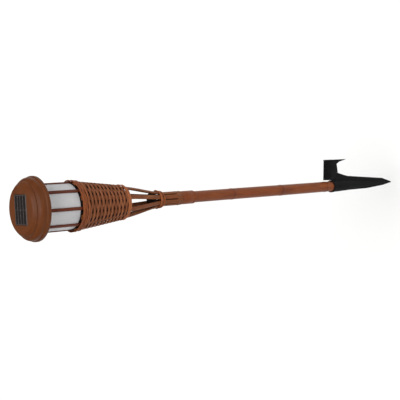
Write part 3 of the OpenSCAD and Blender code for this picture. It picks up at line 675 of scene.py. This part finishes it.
def addSplitBamboo():
    strip = {"corner": 0.7 * mm, "lapMm": 1.5, "stepsMm": 5, "topGap": 0.6 * mm}
    foot = {"corner": 0.8 * mm, "groovesUp": (4 * mm, 6.5 * mm), "grooveRise": 0.5 * mm,
            "groove": 0.3 * mm}
    half, thick, c = basket["staveWidth"] / 2, basket["staveThick"], strip["corner"]
    curve = basket["neckRadius"]  # each strip keeps the cane's own roundness

    def section():
        points = []
        for k in range(9):  # outer face, left to right
            x = -half + c * 0.4 + (2 * half - c * 0.8) * k / 8
            points.append((x, math.sqrt(curve ** 2 - x ** 2) - curve - (0.25 * c if k in (0, 8) else 0)))
        drop = curve - math.sqrt(curve ** 2 - half ** 2)
        points += [(half, -drop - c), (half - 0.3 * mm, -drop - thick + c)]
        for k in range(6):
            x = half - c - (2 * half - 2 * c) * k / 5
            points.append((x, math.sqrt(curve ** 2 - x ** 2) - curve - thick))
        return points + [(-half + 0.3 * mm, -drop - thick + c), (-half, -drop - c)]

    start = slitZ - strip["lapMm"] * mm
    heights = [start, slitZ]
    while heights[-1] < rimZ - 4 * mm:
        heights.append(heights[-1] + strip["stepsMm"] * mm)
    heights[-1] = rimZ - strip["topGap"]
    shape = bmesh.new()
    rings = []
    for z in heights:
        ahead, behind = staveRadius(z + mm), staveRadius(z - mm)
        lean = math.atan2(ahead - behind, 2 * mm)
        r = staveRadius(z)
        rings.append([(r + depth * math.cos(lean), x, z - depth * math.sin(lean))
                      for x, depth in section()])
    sweep(shape, rings)
    strips = meshObject("staves", shape, "bamboo_staves", 40)
    strips = grown("splitBambooStaves", copiesRound, {
        "Count": basket["count"], "Turn": basket["staveTurn"], "Looseness": math.radians(0.4),
        "Seed": 4, "Material": materials["bamboo_staves"]}, strips)
    settle(strips, "stand", "split_bamboo")

    # the uncut foot of the cane, with the split ends of the slits above it
    r, inner = basket["neckRadius"], basket["neckRadius"] - thick
    outline = roundedOutline(inner, r, neckZ, slitZ, foot["corner"])
    grooves = []
    for z in (neckZ + up for up in foot["groovesUp"]):
        grooves += [(r, z - foot["grooveRise"]), (r - foot["groove"], z),
                    (r, z + foot["grooveRise"])]
    outline[5:5] = grooves
    shape = bmesh.new()
    turned(shape, outline, 96)
    settle(meshObject("splitBambooFoot", shape, "bamboo_staves", 40), "stand",
           "split_bamboo")


def addTacks():
    tack = {"head": 2.4 * mm, "dome": 1.1 * mm, "shank": 0.7 * mm, "length": 6.5 * mm,
            "aboveNeck": 12 * mm, "belowEdge": 1.5 * mm, "looseness": math.radians(0.6)}
    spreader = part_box("stave_spreader")
    for name, z in (("lowerTacks", neckZ + tack["aboveNeck"]),
                    ("upperTacks", spreader[1].z - tack["belowEdge"])):
        face = staveRadius(z)
        profile = [(0, -tack["length"]), (tack["shank"], -tack["length"] + mm),
                   (tack["shank"], -0.4 * mm), (tack["head"], -0.3 * mm)]
        profile += [(tack["head"] * math.cos(math.radians(a)), tack["dome"] * math.sin(math.radians(a)))
                    for a in (10, 30, 50, 70)] + [(0, tack["dome"])]
        shape = bmesh.new()
        turned(shape, profile, 20)
        for v in shape.verts:  # lay the tack along X, head outwards
            v.co = Vector((face + v.co.z, v.co.y, z - v.co.x))
        one = meshObject(name, shape, "tack_brown", 50)
        piece = grown(name, copiesRound, {
            "Count": basket["count"], "Turn": basket["staveTurn"],
            "Looseness": tack["looseness"], "Seed": 8, "Material": materials["tack_brown"]}, one)
        settle(piece, "stand", "stave_tacks")


def addSpreader():
    low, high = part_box("stave_spreader")
    r = (high.x - low.x) / 2
    wedge = {"taper": 5 * mm, "edge": 3 * mm, "dish": 6 * mm, "dishDeep": 1.5 * mm,
             "tooling": 0.1 * mm}
    outline = ([(0, low.z)] + arcPoints(r - wedge["taper"] - mm, low.z + mm, mm, -90, -30, 4)
               + [(r, high.z - wedge["edge"])] + arcPoints(r - mm, high.z - mm, mm, 0, 90, 4)
               + [(wedge["dish"], high.z), (wedge["dish"] - mm, high.z - wedge["dishDeep"]),
                  (0, high.z - wedge["dishDeep"])])
    shape = bmesh.new()
    turned(shape, outline, 72, lambda a, z: -wedge["tooling"] * (1 + math.sin(5 * a + 60 * z)))
    # near black, partly painted shade: the dark seen between the strips above the neck tie
    settle(meshObject("staveSpreader", shape, "plug_wood", 40), "stand",
           "stave_spreader")


addSplitBamboo()
addTacks()
addSpreader()
print("split bamboo made")


def addWeave():
    weave = {
        "pitch": 6.1 * mm, "height": 5.7 * mm, "thick": 2.3 * mm, "clear": 0.05 * mm,
        "unevenness": 0.9 * mm, "steps": 192, "seed": 11,
        "waves": basket["count"] / 2,  # out over one strip, in behind the next
        "spare": 0.4 * mm,  # the rows may close up by this much to fit one more in
    }
    low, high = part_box("basket_weave")
    rows = int((high.z - low.z + weave["spare"]) / weave["pitch"])
    first = low.z + (high.z - low.z - (rows - 1) * weave["pitch"]) / 2
    thick = basket["staveThick"]
    piece = grown("basketWeave", strandRows, {
        "Rows": rows, "Low Z": first, "Row Pitch": weave["pitch"],
        "Low Radius": staveRadius(first) - thick / 2, "Cone": cone,
        "Swing": thick / 2 + weave["thick"] / 2 + weave["clear"], "Waves": weave["waves"],
        "Turn": basket["staveTurn"], "Slant": 0.0, "Slant Turn": 0.0,
        "Unevenness": weave["unevenness"],
        "Strand Height": weave["height"], "Strand Thickness": weave["thick"],
        "Steps": weave["steps"], "Seed": weave["seed"], "Material": materials["cane_weave"]})
    settle(piece, "stand", "basket_weave")


def addBorders():
    # rows of cane laid side by side: how tall and thick each is, and how it wanders
    borders = {
        "footBorder": {"node": "foot_binding", "rows": 2, "height": 6.2 * mm, "thick": 2.4 * mm,
                       "swing": 0.4 * mm, "waves": 11.0, "slant": 0.2 * mm, "slantTurn": 2.0,
                       "unevenness": 0.5 * mm, "rise": 1.1 * mm, "seed": 21},
        "rimBorder": {"node": "rim_binding", "rows": 4, "height": 5.0 * mm, "thick": 2.7 * mm,
                      "swing": 0.5 * mm, "waves": 13.0, "slant": 0.8 * mm, "slantTurn": 2.2,
                      "unevenness": 1.2 * mm, "rise": 0.0, "seed": 31},
        "neckTie": {"node": "neck_binding", "rows": 4, "height": 4.4 * mm, "thick": 2.9 * mm,
                    "swing": 0.3 * mm, "waves": 3.0, "slant": 1.8 * mm, "slantTurn": 1.9,
                    "unevenness": 1.4 * mm, "rise": 0.0, "seed": 43},
    }
    bed, startTurn = 0.2 * mm, 0.4  # gap to the strips, and where the swings start
    for name, border in borders.items():
        low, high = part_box(border["node"])
        pitch = (high.z - low.z) / border["rows"]
        first = low.z + pitch / 2 + border["rise"]
        slope = (staveRadius(high.z) - staveRadius(low.z)) / (high.z - low.z)
        piece = grown(name, strandRows, {
            "Rows": border["rows"], "Low Z": first, "Row Pitch": pitch, "Cone": slope,
            "Low Radius": staveRadius(first) + bed + border["thick"] / 2,
            "Swing": border["swing"], "Waves": border["waves"], "Turn": startTurn,
            "Slant": border["slant"], "Slant Turn": border["slantTurn"],
            "Unevenness": border["unevenness"], "Strand Height": border["height"],
            "Strand Thickness": border["thick"], "Steps": 192, "Seed": border["seed"],
            "Material": borderCaneWithPaintedLight})
        settle(piece, "stand", border["node"])


def addTieKnot():
    # the tie ends in an overhand knot: a trefoil of the same cane
    knot = {"unit": 1.25 * mm, "flatten": 0.9, "thick": 1.15 * mm, "turnDeg": 12, "steps": 72,
            "sides": 10, "lift": 3 * mm, "standOff": 3.2 * mm}
    low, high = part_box("neck_binding")
    middle = (low.z + high.z) / 2 + knot["lift"]
    turn = Matrix.Rotation(math.radians(knot["turnDeg"]), 3, "Z")
    centre = Vector((staveRadius(middle) + knot["standOff"], 0, middle))
    rings = []
    for i in range(knot["steps"]):
        t = 2 * math.pi * i / knot["steps"]
        point = Vector((-math.sin(3 * t) * knot["flatten"], math.sin(t) + 2 * math.sin(2 * t),
                        math.cos(t) - 2 * math.cos(2 * t))) * knot["unit"]
        along = Vector((-3 * math.cos(3 * t) * knot["flatten"],
                        math.cos(t) + 4 * math.cos(2 * t),
                        -math.sin(t) + 4 * math.sin(2 * t))).normalized()
        side = along.cross(Vector((1, 0, 0))).normalized()
        rise = side.cross(along)
        angles = [2 * math.pi * j / knot["sides"] for j in range(knot["sides"])]
        rings.append([turn @ (centre + point + knot["thick"] * (math.cos(a) * side + math.sin(a) * rise))
                      for a in angles])
    shape = bmesh.new()
    sweep(shape, rings + [rings[0]], capEnds=False)
    settle(meshObject("neckTieKnot", shape, "cane_weave", 60, borderCaneWithPaintedLight), "stand",
           "neck_binding")


addWeave()
addBorders()
addTieKnot()
print("weave made")


def addLantern():
    cage = {
        "edge": 0.9 * mm, "crown": 0.35 * mm, "play": 0.2 * mm, "ribDepth": 3.4 * mm,
        "ribHalf": 4.25 * mm, "ribEnd": 0.6 * mm, "endShrink": 0.93, "looseness": math.radians(0.3),
        "ringCorner": 1.2 * mm, "seatBore": 50 * mm, "seatWall": 2.5 * mm,
        "seatShelf": 4 * mm, "seatCorner": 0.6 * mm,
        "tubeWall": 2.0 * mm, "tubeCorner": 0.7 * mm,
    }
    low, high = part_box("lantern_ribs")
    inner = (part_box("diffuser")[1].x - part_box("diffuser")[0].x) / 2 + cage["play"]
    outer, half = inner + cage["ribDepth"], cage["ribHalf"]
    e, rings = cage["edge"], []
    section = [(inner, half), (outer - e, half), (outer - 0.3 * e, half - 0.3 * e),
               (outer, half - e), (outer + cage["crown"] * 0.5, half * 0.4),
               (outer + cage["crown"] * 0.5, -half * 0.4), (outer, -half + e),
               (outer - 0.3 * e, -half + 0.3 * e), (outer - e, -half), (inner, -half)]
    for z in (low.z, low.z + cage["ribEnd"], (low.z + high.z) / 2, high.z - cage["ribEnd"], high.z):
        shrink = 1.0 if low.z < z < high.z else cage["endShrink"]
        rings.append([(inner + (x - inner) * shrink - cage["crown"] * 0.5, y * shrink, z)
                      for x, y in section])
    shape = bmesh.new()
    sweep(shape, rings)
    one = meshObject("rib", shape, "cage_brown", 45)
    ribs = grown("lanternRibs", copiesRound, {
        "Count": basket["count"], "Turn": basket["ribTurn"], "Looseness": cage["looseness"],
        "Seed": 5, "Material": materials["cage_brown"]}, one)
    for v in ribs.data.vertices:  # keep every rib off the diffuser
        r = math.hypot(v.co.x, v.co.y)
        if r < inner:
            v.co.x, v.co.y = v.co.x * inner / r, v.co.y * inner / r
    settle(ribs, "stand", "lantern_ribs")
    low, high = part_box("lantern_top_ring")
    shape = bmesh.new()
    turned(shape, roundedOutline(inner, (high.x - low.x) / 2, low.z, high.z,
                                 cage["ringCorner"]), 128)
    settle(meshObject("lanternTopRing", shape, "cage_brown", 50), "stand",
           "lantern_top_ring")
    low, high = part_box("lantern_base_ring")
    outside, c = (high.x - low.x) / 2, cage["seatCorner"]
    bore, within = cage["seatBore"], outside - cage["seatWall"]
    shelf = low.z + cage["seatShelf"]
    outline = ([(bore, low.z + c), (bore + c, low.z), (outside - c, low.z), (outside, low.z + c)]
               + arcPoints(outside - c, high.z - c, c, 0, 90, 4)
               + arcPoints(within + c, high.z - c, c, 90, 180, 4)
               + arcPoints(within - c, shelf + c, c, 0, -90, 4) + [(bore + c, shelf), (bore, shelf - c)])
    shape = bmesh.new()
    turned(shape, outline, 128)
    # the seat ring is near black: painted shade for the dark gap between the diffuser and the rim
    settle(meshObject("lanternBaseRing", shape, "liner_black", 50), "stand",
           "lantern_base_ring")
    low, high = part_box("diffuser")
    r = (high.x - low.x) / 2
    outline = roundedOutline(r - cage["tubeWall"], r, low.z, high.z, cage["tubeCorner"])
    shape = bmesh.new()
    turned(shape, outline, 128)
    settle(meshObject("diffuserTube", shape, "diffuser_frosted", 50), "stand",
           "diffuser")


addLantern()
print("lantern made")


def addCap():
    cap = {
        "wall": 2.6 * mm, "face": 64 * mm, "segments": 192, "pocketDeep": 3.6 * mm,
        "panelPlay": 0.5 * mm, "lip": 0.5 * mm, "trayDeep": 6 * mm,
        "faceCorner": 2.5 * mm, "shoulder": 15.5 * mm, "shoulderIn": 18.5 * mm,
        "shoulderDown": 26.5 * mm, "flange": 3 * mm, "flangeTop": 8 * mm, "cove": 2.4 * mm,
        "coveUp": 13.4 * mm,
    }
    low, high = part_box("top_cap")
    edge, h = (high.x - low.x) / 2, high.z - low.z
    halfX, halfY = (c + cap["panelPlay"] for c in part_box("solar_panel")[1][:2])
    corner, flange, cove = cap["faceCorner"], cap["flange"], cap["cove"]
    face, wall, t = cap["face"], edge - flange, cap["wall"]
    shoulderR, shoulderZ = edge - cap["shoulderIn"], h - cap["shoulderDown"]
    outer = (arcPoints(face - corner, h - corner, corner, 90, 50, 6)
             + [(face + 3.6 * mm, h - 4.4 * mm), (face + 6.4 * mm, h - 7.3 * mm)]
             + arcPoints(face + 6.1 * mm, h - 8.3 * mm, 1.0 * mm, 50, 8, 4)
             + arcPoints(face + 8.4 * mm, h - 10.3 * mm, 1.2 * mm, 188, 250, 4)
             + arcPoints(shoulderR, shoulderZ, cap["shoulder"], 67, 0, 16)
             + arcPoints(wall + cove, cap["coveUp"], cove, 180, 236, 5)
             + arcPoints(wall, cap["flangeTop"], flange, 58, 0, 6)
             + arcPoints(wall, flange, flange, 0, -80, 6))
    inner = ([(wall - t, 0.2 * mm), (wall - t, 12.5 * mm)]
             + arcPoints(shoulderR - t, shoulderZ - t, cap["shoulder"], 0, 70, 8)
             + [(face + 3 * mm - t, h - 4.4 * mm - t), (face - 4 * mm, h - cap["trayDeep"]),
                (4 * mm, h - cap["trayDeep"])])
    slope = math.atan2(halfY, halfX)  # of the panel's diagonal
    turns = {round(2 * math.pi * i / cap["segments"], 6) for i in range(cap["segments"])}
    turns |= {round(a, 6) for a in (slope, math.pi - slope, math.pi + slope,
                                    2 * math.pi - slope)}
    turns = sorted(turns)

    def circle(r, z):
        return [(r * math.cos(a), r * math.sin(a), low.z + z) for a in turns]

    def pocket(grow, z):
        ring = []
        for a in turns:
            x, y = math.cos(a), math.sin(a)
            reach = min((halfX + grow) / max(abs(x), 1e-9), (halfY + grow) / max(abs(y), 1e-9))
            ring.append((x * reach, y * reach, low.z + z))
        return ring

    deep = h - cap["pocketDeep"]
    rings = ([pocket(-2 * mm, deep), pocket(0, deep), pocket(0, h - cap["lip"]),
              pocket(cap["lip"] * 0.3, h - cap["lip"] * 0.3), pocket(cap["lip"], h)]
             + [circle(r, z) for r, z in outer + inner])
    shape = bmesh.new()
    sweep(shape, rings)
    settle(meshObject("domedCap", shape, "cap_brown", 32), "lamp_head", "top_cap")


def addPanel():
    panel = {
        "cellsX": 2, "cellsY": 4, "edge": 2.4 * mm, "gapX": 1.6 * mm, "gapY": 2.6 * mm,
        "rise": 0.12 * mm, "sink": 0.05 * mm, "cellBevel": 0.04 * mm, "bevel": 0.5 * mm,
        "finger": 0.8 * mm, "fingerRise": 1.8, "fingerBevel": 0.03 * mm,
    }
    low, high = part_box("solar_panel")
    sizeX, sizeY = high.x - low.x, high.y - low.y
    top = high.z - panel["rise"] * 2
    b = panel["bevel"]

    def slab(shape, x0, x1, y0, y1, z0, z1, r):
        rings = []
        for grow, z in ((-r, z0), (0, z0 + r), (0, z1 - r), (-r, z1)):
            rings.append([(x0 - grow, y0 - grow, z), (x1 + grow, y0 - grow, z),
                          (x1 + grow, y1 + grow, z), (x0 - grow, y1 + grow, z)])
        sweep(shape, rings)

    shape = bmesh.new()
    slab(shape, low.x, high.x, low.y, high.y, low.z, top, b)
    settle(meshObject("panelPlate", shape, "solar_cell", 30, backSheet),
           "lamp_head", "solar_panel")
    pitchX = (sizeX - 2 * panel["edge"]) / panel["cellsX"]
    pitchY = (sizeY - 2 * panel["edge"]) / panel["cellsY"]
    halfX, halfY = (pitchX - panel["gapX"]) / 2, (pitchY - panel["gapY"]) / 2
    shape = bmesh.new()
    slab(shape, -halfX, halfX, -halfY, halfY, top - panel["sink"], top + panel["rise"],
         panel["cellBevel"])
    one = meshObject("cell", shape, "solar_cell", 30)
    cells = grown("panelCells", copiesGrid, {
        "Count X": panel["cellsX"], "Count Y": panel["cellsY"], "Pitch X": pitchX,
        "Pitch Y": pitchY, "Material": materials["solar_cell"]}, one)
    settle(cells, "lamp_head", "solar_panel")
    shape = bmesh.new()
    f = panel["finger"] / 2
    slab(shape, -sizeX / 2 + panel["edge"], sizeX / 2 - panel["edge"], -f, f,
         top - panel["sink"], top + panel["rise"] * panel["fingerRise"], panel["fingerBevel"])
    one = meshObject("finger", shape, "solar_cell", 30, silverPaste)
    lines = grown("panelLines", copiesGrid, {
        "Count X": 1, "Count Y": panel["cellsY"] + 1, "Pitch X": 0.0, "Pitch Y": pitchY,
        "Material": silverPaste}, one)
    settle(lines, "lamp_head", "solar_panel")


addCap()
addPanel()
print("cap made")


def addGroundSpike():
    # the CAD shape with its edges rounded over, as a mould leaves them
    mould = {"rounding": 0.5 * mm, "weld": 4e-6, "flatDeg": 1.0, "sharpDeg": 30, "smoothDeg": 38}
    shape = bmesh.new()
    shape.from_mesh(frame["nodes"]["ground_spike"].data)
    bmesh.ops.remove_doubles(shape, verts=shape.verts, dist=mould["weld"])
    bmesh.ops.dissolve_limit(shape, angle_limit=math.radians(mould["flatDeg"]),
                             verts=shape.verts, edges=shape.edges)
    edges = [e for e in shape.edges
             if e.is_manifold and abs(e.calc_face_angle(0)) > math.radians(mould["sharpDeg"])]
    bmesh.ops.bevel(shape, geom=edges, offset=mould["rounding"], segments=2, profile=0.5,
                    affect="EDGES", clamp_overlap=True)
    bmesh.ops.triangulate(shape, faces=[f for f in shape.faces if len(f.verts) > 4])
    settle(meshObject("groundSpike", shape, "spike_black", mould["smoothDeg"]),
           "stand", "ground_spike")


addGroundSpike()
print("spike made")

for nodeName, node in frame["nodes"].items():
    slotName = next(part["material_slot"] for part in frame["record"]["subparts"]
                    if part["node"] == nodeName)
    for slot in node.material_slots:
        slot.material = materials[slotName]
print("inner parts finished")
